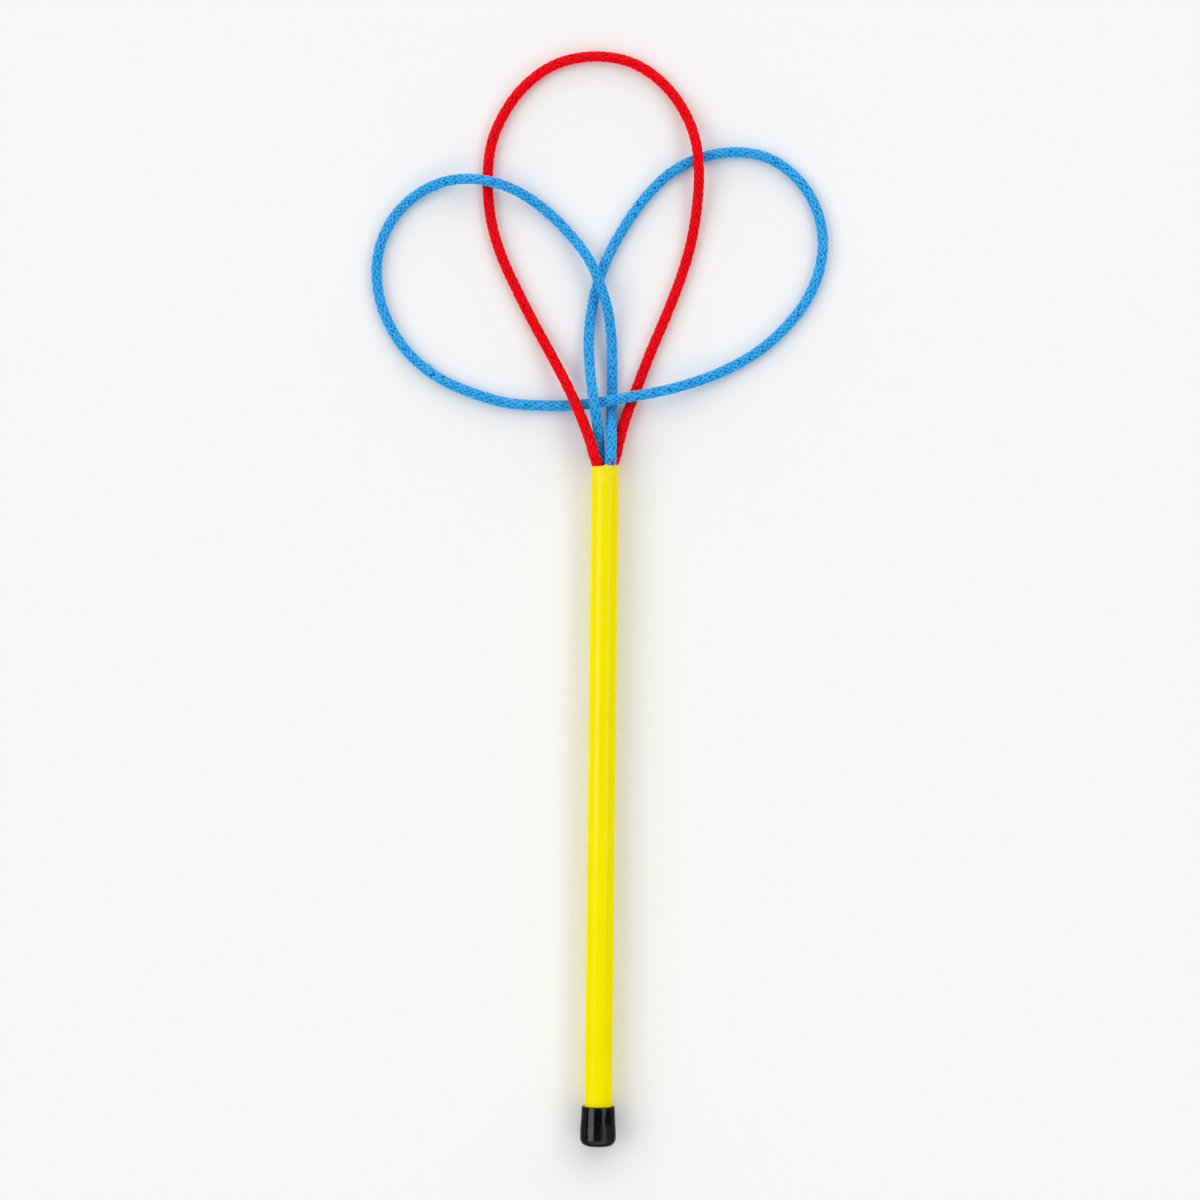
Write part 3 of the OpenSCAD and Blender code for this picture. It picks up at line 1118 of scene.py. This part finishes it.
    def tuft(self, finishes: dict[str, YarnFinish]) -> None:
        """Makes the pinches of longer fibres, each on the rope at the point nearest to its place.

        Args:
            finishes: yarn finishes by name, for fibres of the other rope's colour.
        """
        make = self.fluff
        x, y, z = self.line.T
        rng = self._source(Draw.TUFTS)
        for i, t in enumerate(self.tufts):
            gap = np.hypot(x - t.x, y - t.y) - make.favour * (z > SIZES.rest_z + make.raised)
            row = int(np.argmin(np.where(y < SIZES.mouth_y, 1.0, gap)))
            rows = np.clip(row + rng.normal(0, make.scatter, t.count).astype(int), 0, len(x) - 1)
            angle = np.radians(t.side) - self.sway[row] + rng.normal(0, t.spread, t.count)
            length = t.length * rng.uniform(make.shortest, 1.0, t.count)
            finish = finishes.get(t.finish, self.finish)
            hairs = self._hairs(rng, rows, angle, length, t.rise, make.tuft_r)
            hairs.make(f"{self.name}_tuft_{i + 1}", finish.fibres(), self.node)

    def build(self, finishes: dict[str, YarnFinish]) -> None:
        """Makes the whole rope.

        Args:
            finishes: yarn finishes by name.
        """
        self.weave()
        self.fill()
        self.fuzz_over()
        self.tuft(finishes)


# Rigid pieces


@dataclass(frozen=True)
class HandleTube:
    """The plastic tube: a thin wall with a slanted mouth that the ropes push out a little.

    Each wave of its wobble has a share, a rate along the tube, a count round it and a start. The
    burr of its sawn mouth has three counts round it, and the last is that of the fine burr.
    """

    rings: int = 150
    mouth_rings: int = 24
    mouth_step: float = 0.0002
    points: int = 160
    edge: float = 0.00006
    rope_ends: int = 4
    push_share: float = 0.25
    push_turn: float = 54.0
    wobble: float = 0.000012
    waves: tuple[tuple[float, float, int, float], ...] = (
        (1.0, 190.0, 2, 0.0), (1.0, 83.0, -1, 1.0), (0.6, 411.0, 3, 0.0),
    )
    burr: float = 0.00004
    burrs: tuple[int, int, int] = (9, 5, 23)
    fine_burr: float = 0.6

    def build(self) -> None:
        """Makes the tube as one closed wall.

        The profile runs up the outside, over the mouth's rounded edges, down the bore and over
        the foot, and is turned round the axis. Near the mouth each point rises by its x times the
        tangent of the slant, and the radius gains the swell by a smooth step, more over the ropes.
        """
        z = SIZES
        foot, top, e = z.cap_floor, z.mouth_y, self.edge
        up = np.linspace(foot + e, top - e, self.rings)
        near_top = top - np.linspace(self.mouth_step, z.mouth_swell_len, self.mouth_rings)
        up = np.sort(np.concatenate([up, near_top]))
        profile = np.concatenate([
            upright(z.tube_r, up),
            arc((z.tube_r - e, top - e), e, 15, 90, 5),
            arc((z.bore_r + e, top - e), e, 90, 165, 5),
            upright(z.bore_r, up[::-1]),
            arc((z.bore_r + e, foot + e), e, 195, 270, 5),
            arc((z.tube_r - e, foot + e), e, 270, 345, 5),
        ])
        rings, along = lathe(profile, self.points, Join.LOOP)
        a = angles(self.points)
        y = rings[..., 1]
        near = smooth(np.clip((y - (top - z.mouth_swell_len)) / z.mouth_swell_len, 0, 1))
        over = np.cos(self.rope_ends * (a - np.radians(self.push_turn)))
        push = 1 - self.push_share + self.push_share * over
        wave = sum(share * np.sin(y * rate + n * a + start) for share, rate, n, start in self.waves)
        swell(rings, z.mouth_swell * near * push + self.wobble * wave)
        broad, middle, fine = self.burrs
        rough = np.sin(broad * a + 1) * np.sin(middle * a) + self.fine_burr * np.sin(fine * a)
        rings[..., 1] += (rings[..., 0] * z.mouth_rise + self.burr * rough) * near
        surface = Surface.from_rings(rings, along, Join.LOOP, flip=True)
        surface.make("handle_tube_wall", TubeFinish().material(), "handle_tube", "handle_tube")


@dataclass(frozen=True)
class Press:
    """A shallow place pressed into the cap: how deep, where, and how far it spreads.

    The place and the spread are an angle round the handle in degrees, and a height.
    """

    depth: float
    turn: float
    height: float
    turn_spread: float
    height_spread: float

    def at(self, turn: Array, height: Array) -> Array:
        """The depth times a bell curve of the angle and the height."""
        a, b = (turn - self.turn) / self.turn_spread, (height - self.height) / self.height_spread
        return self.depth * np.exp(-(a**2) - b**2)


@dataclass(frozen=True)
class EndCap:
    """The push-on vinyl cap: a thick end, a rounded edge, a band, a tapering wall and a lip.

    Each step is the distance from a rounded edge to the next ring.
    """

    points: int = 160
    centre_r: float = 0.0003
    waist: float = 0.00007
    socket_edge: float = 0.00025
    band_step: float = 0.0005
    socket_step: float = 0.0008
    floor_step: float = 0.0004
    dent: Press = Press(0.00030, 52.0, 0.0125, 14.0, 0.0032)
    flat: Press = Press(0.00012, 68.0, 0.0195, 12.0, 0.003)
    ripple: float = 0.00003
    ripples: int = 3
    ripple_rate: float = 500.0
    press_from: float = 0.006
    press_ease: float = 0.002

    def build(self) -> None:
        """Makes the cap as one closed wall.

        The profile runs from the middle of the end face over the edge, the band, the taper and the
        rim into the socket, down to its floor, and is turned round the axis. The taper is drawn in
        by a sine of the height. Two bell curves in angle and height press into the wall at the
        right: a shallow dent, and a flatter place above it at the rim.
        """
        z, e = SIZES, self.socket_edge
        edge_r, band_top = z.band_r - z.cap_edge_r, z.cap_edge_r + z.cap_band_len
        lip_y, lip_r = z.cap_len - z.cap_lip_r, z.rim_r - z.cap_lip_r
        taper = np.linspace((z.band_r, band_top), (z.rim_r, lip_y), 40)
        taper[:, 0] -= self.waist * np.sin(np.linspace(0, np.pi, len(taper)))
        profile = np.concatenate([
            np.linspace((self.centre_r, 0), (edge_r, 0), 8),
            arc((edge_r, z.cap_edge_r), z.cap_edge_r, -88, 0, 18),
            upright(z.band_r, np.linspace(z.cap_edge_r + self.band_step, band_top, 7)),
            taper[1:],
            arc((lip_r, lip_y), z.cap_lip_r, 8, 90, 7),
            arc((z.socket_r + e, z.cap_len - e), e, 90, 180, 5),
            upright(z.socket_r, np.linspace(z.cap_len - self.socket_step, z.cap_floor, 20)),
            np.linspace((z.socket_r - self.floor_step, z.cap_floor), (self.centre_r, z.cap_floor), 8),
        ])
        rings, along = lathe(profile, self.points, Join.OPEN)
        a, y = np.degrees(angles(self.points)), rings[..., 1]
        wall = (np.hypot(rings[..., 0], rings[..., 2]) > lip_r) & (y < lip_y)
        ripple = self.ripple * np.sin(np.radians(self.ripples * a) + y * self.ripple_rate)
        shift = (ripple - self.dent.at(a, y) - self.flat.at(a, y)) * wall
        swell(rings, shift * np.clip((y - self.press_from) / self.press_ease, 0, 1))
        surface = Surface.from_rings(rings, along, flip=True)
        surface.make("end_cap_vinyl", VinylFinish().material(), "end_cap", "end_cap")


@dataclass(frozen=True)
class GlueDab:
    """The blob of glue that wells up between the ropes at the front of the mouth."""

    x: float = 0.0010
    z: float = 0.0050
    drop: float = 0.0002
    size: Triple = (0.0020, 0.0009, 0.0014)
    points: int = 32
    pole: float = 0.05
    lumps: Range = (0.09, 0.06)

    def build(self) -> None:
        """Makes the blob: an egg whose radius is uneven by a few sines of its two angles."""
        rows = self.points // 2
        polar = np.linspace(self.pole, np.pi - self.pole, rows)[:, None]
        turn = angles(self.points)
        uneven = 1 + self.lumps[0] * np.sin(3 * turn + 1) * np.sin(polar)
        uneven += self.lumps[1] * np.sin(2 * polar + 5 * turn)
        ball = np.stack([
            np.sin(polar) * np.cos(turn) * uneven,
            -np.cos(polar) * uneven,
            np.sin(polar) * np.sin(turn) * uneven,
        ], axis=-1)
        middle = np.array([self.x, SIZES.mouth_y - self.drop, self.z])
        rings = (middle + ball * np.array(self.size))[None]
        surface = Surface.from_rings(rings, np.linspace(0, 1, rows), flip=True)
        surface.make("glue_dab", GlueFinish().material(), "glue")


# Studio


class SkyGraph(Graph):
    """The sky's nodes, which light the scene from far away."""

    def __init__(self, name: str) -> None:
        """Starts an empty world.

        Args:
            name: the world's name.
        """
        world = bpy.data.worlds.new(name)
        bpy.context.scene.world = world
        world.use_nodes = True
        self.tree = world.node_tree
        self.tree.nodes.clear()

    def dot(self, vector: Socket, axis: Triple) -> Socket:
        """Dot product of a direction with a fixed one."""
        node = self.add("ShaderNodeVectorMath", {0: vector, 1: axis}, operation="DOT_PRODUCT")
        return node.outputs["Value"]


@dataclass(frozen=True)
class SoftBox:
    """A far soft box: how far it leans from straight above, its size and how bright its face is.

    The width and length are those of a box one metre away that looks as large.
    """

    lean: float
    width: float
    length: float
    brightness: float
    blur: float = 0.02

    def glow(self, g: SkyGraph, where: Socket) -> Socket:
        """Light of the box in each direction.

        The direction's parts along the box's width and length, each over its part towards the
        box, are cut off by smooth steps at half the width and half the length.

        Args:
            g: the sky's nodes.
            where: the direction.

        Returns:
            The box's brightness inside it, and 0 elsewhere.
        """
        a = np.radians(self.lean)
        c, s = float(np.cos(a)), float(np.sin(a))
        depth = g.dot(where, (s, 0.0, c))
        light = g.times(g.math("GREATER_THAN", depth, 0.0), self.brightness)
        for axis, size in (((c, 0.0, -s), self.width), ((0.0, 1.0, 0.0), self.length)):
            off = g.math("ABSOLUTE", g.math("DIVIDE", g.dot(where, axis), depth))
            edge = (size / 2 - self.blur, size / 2 + self.blur)
            light = g.times(light, g.ramp(off, edge, (1.0, 0.0)))
        return light


@dataclass(frozen=True)
class Studio:
    """Camera, lamp, sky and floor. All light comes from far away, so the floor is lit evenly.

    The focal length and the frame are in pixels of the photograph, and the roll is a slope.
    """

    boxes: tuple[SoftBox, ...] = (
        SoftBox(lean=-48.0, width=0.7, length=0.92, brightness=1.5),
        SoftBox(lean=43.0, width=0.385, length=2.6, brightness=1.28),
    )
    key_lean: float = -48.0
    key_angle: float = 38.0
    key_power: float = 0.25
    key_y: float = 0.25
    sensor: float = 36.0
    focal_px: float = 4340.0
    frame_px: float = 1200.0
    view_limits: Range = (0.05, 50.0)
    eye: Triple = (-0.00183, 0.27298, 2.170)
    roll: float = 0.0108
    floor_colour: Colour = (0.93, 0.93, 0.93)
    floor_half: float = 4.0
    floor_gap: float = 0.00001
    sky_plain: float = 0.035
    sky_head: float = 1.88
    sky_foot: float = 0.96
    sky_seen: float = 0.92

    def camera(self) -> None:
        """Looks straight down at the wand from the photograph's place, with its small roll."""
        data = bpy.data.cameras.new("camera")
        data.sensor_width, data.lens = self.sensor, self.sensor * self.focal_px / self.frame_px
        data.clip_start, data.clip_end = self.view_limits
        right = Vector((1.0, self.roll, 0.0)).normalized()
        up = Vector((-self.roll, 1.0, 0.0)).normalized()
        turn = Matrix((right, up, Vector((0, 0, 1)))).transposed()
        cam = shown("camera", data)
        cam.matrix_world = Matrix.Translation(self.eye) @ turn.to_4x4()
        bpy.context.scene.camera = cam

    def key(self) -> None:
        """A wide and soft far lamp in the middle of the left soft box."""
        data = bpy.data.lights.new("key", "SUN")
        data.energy, data.angle = self.key_power, float(np.radians(self.key_angle))
        a = float(np.radians(self.key_lean))
        lamp = shown("key", data)
        lamp.location = (np.sin(a), self.key_y, np.cos(a))
        lamp.rotation_euler = (0.0, a, 0.0)

    def sky(self) -> None:
        """A sky with the soft boxes, brighter towards the hoops' end and a little towards the cap's.

        Its strength is a constant plus one share times the smooth step of the direction's y, plus
        another share times the smooth step of minus y, plus the boxes. The camera sees an even
        pale grey.
        """
        g = SkyGraph("sky")
        where = g.add("ShaderNodeTexCoord").outputs["Generated"]
        y = g.parts(where)[1]
        light = g.ramp(y, (0.0, 1.0), (self.sky_plain, self.sky_plain + self.sky_head))
        light = g.math("ADD", light, g.ramp(y, (0.0, -1.0), (0.0, self.sky_foot)))
        for box in self.boxes:
            light = g.math("ADD", light, box.glow(g, where))
        by_camera = g.add("ShaderNodeLightPath").outputs["Is Camera Ray"]
        seen = g.add("ShaderNodeMix", {0: by_camera, 2: light, 3: self.sky_seen}).outputs[0]
        back = g.add("ShaderNodeBackground", {"Color": (1.0, 1.0, 1.0), "Strength": seen})
        g.add("ShaderNodeOutputWorld", {0: back.outputs[0]})

    def floor(self) -> None:
        """A large pale floor under the wand, which a camera below it sees through."""
        half, z = self.floor_half, -SIZES.band_r - self.floor_gap
        corners = [(x * half, y * half, z) for x, y in ((-1, -1), (1, -1), (1, 1), (-1, 1))]
        mesh = bpy.data.meshes.new("floor")
        mesh.from_pydata(corners, [], [(0, 1, 2, 3)])
        g = Graph("pale_floor")
        g.dress(Base_Color=self.floor_colour, Roughness=0.9, Specular_IOR_Level=0.1)
        behind = g.add("ShaderNodeNewGeometry").outputs["Backfacing"]
        share = g.times(behind, g.add("ShaderNodeLightPath").outputs["Is Camera Ray"])
        clear = g.add("ShaderNodeBsdfTransparent").outputs[0]
        both = g.add("ShaderNodeMixShader", {0: share, 1: g.shader.outputs[0], 2: clear})
        g.feed(g.end, {0: both.outputs[0]})
        mesh.materials.append(g.material)
        shown("floor", mesh)

    def build(self) -> None:
        """Makes the camera, the lamp, the sky and the floor."""
        self.camera()
        self.key()
        self.sky()
        self.floor()
        bpy.context.scene.view_settings.view_transform = "Standard"


# The wand

# Each yarn's colours: its face, a deep colour that paints shade in its hollows and under the braid,
# and a bright colour that paints highlights on its crests and also tints its sheen and loose fibres.
RED = YarnFinish(
    "red_yarn", from_screen(253, 0, 14), from_screen(212, 0, 6), from_screen(255, 8, 36), sheen=0.08
)
BLUE = YarnFinish(
    "blue_yarn", from_screen(36, 172, 244), from_screen(0, 94, 184), from_screen(104, 206, 255)
)


def both_ropes() -> list[BraidedRope]:
    """The wand's two ropes, each with its tufts.

    Returns:
        The red rope and the blue one.
    """
    return [
        BraidedRope(
            name="red", node="red_rope", finish=RED, lay=0.0393, seed=11, stretches=2, fuzz=3600,
            route=RopeRoute(RED_SHARES, first_turn=144, last_turn=-36, fan_share=1.8),
            tufts=(
                Tuft(0.02196, 0.38575, 60, 0.0012),
                Tuft(-0.0213, 0.3663, 24, 0.0018, side=180.0),
                Tuft(-0.0133, 0.5449, 20, 0.0012, side=90.0),
            ),
        ),
        BraidedRope(
            name="blue", node="blue_rope", finish=BLUE, lay=0.0327, seed=29, stretches=2, fuzz=5600,
            route=RopeRoute(BLUE_SHARES, first_turn=-126, last_turn=54, fan_share=1.35),
            tufts=(
                Tuft(-0.0876, 0.4821, 50, 0.0018),
                Tuft(-0.0915, 0.3845, 50, 0.0018),
                Tuft(-0.0319, 0.4642, 40, 0.0018),
                Tuft(-0.0095, 0.4279, 40, 0.0018, side=180.0),
                Tuft(0.0034, 0.3420, 220, 0.0011, 106.0, finish=RED.name, spread=0.12, rise=0.35),
            ),
        ),
    ]


@dataclass
class Wand:
    """The whole wand: its rigid pieces, its two ropes, and the solids that keep their shape."""

    tube: HandleTube = field(default_factory=HandleTube)
    cap: EndCap = field(default_factory=EndCap)
    glue: GlueDab = field(default_factory=GlueDab)
    ropes: list[BraidedRope] = field(default_factory=both_ropes)

    def build(self) -> None:
        """Makes every piece and dresses the wires and the plug, whose solids are kept."""
        for piece in (self.tube, self.cap, self.glue):
            piece.build()
        finishes = {finish.name: finish for finish in (RED, BLUE)}
        for rope in self.ropes:
            rope.build(finishes)
        wire, plug = WireFinish().material(), GlueFinish().material()
        for node, material in (("red_core", wire), ("blue_core", wire), ("glue_plug", plug)):
            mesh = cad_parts[node].data
            mesh.materials.clear()
            mesh.materials.append(material)
            LOG.info("%s: solid kept, new finish", node)


def main() -> None:
    """Builds the studio and the wand."""
    logging.basicConfig(level=logging.INFO, format="%(name)s: %(message)s")
    Studio().build()
    Wand().build()


if __name__ == "__main__":
    main()
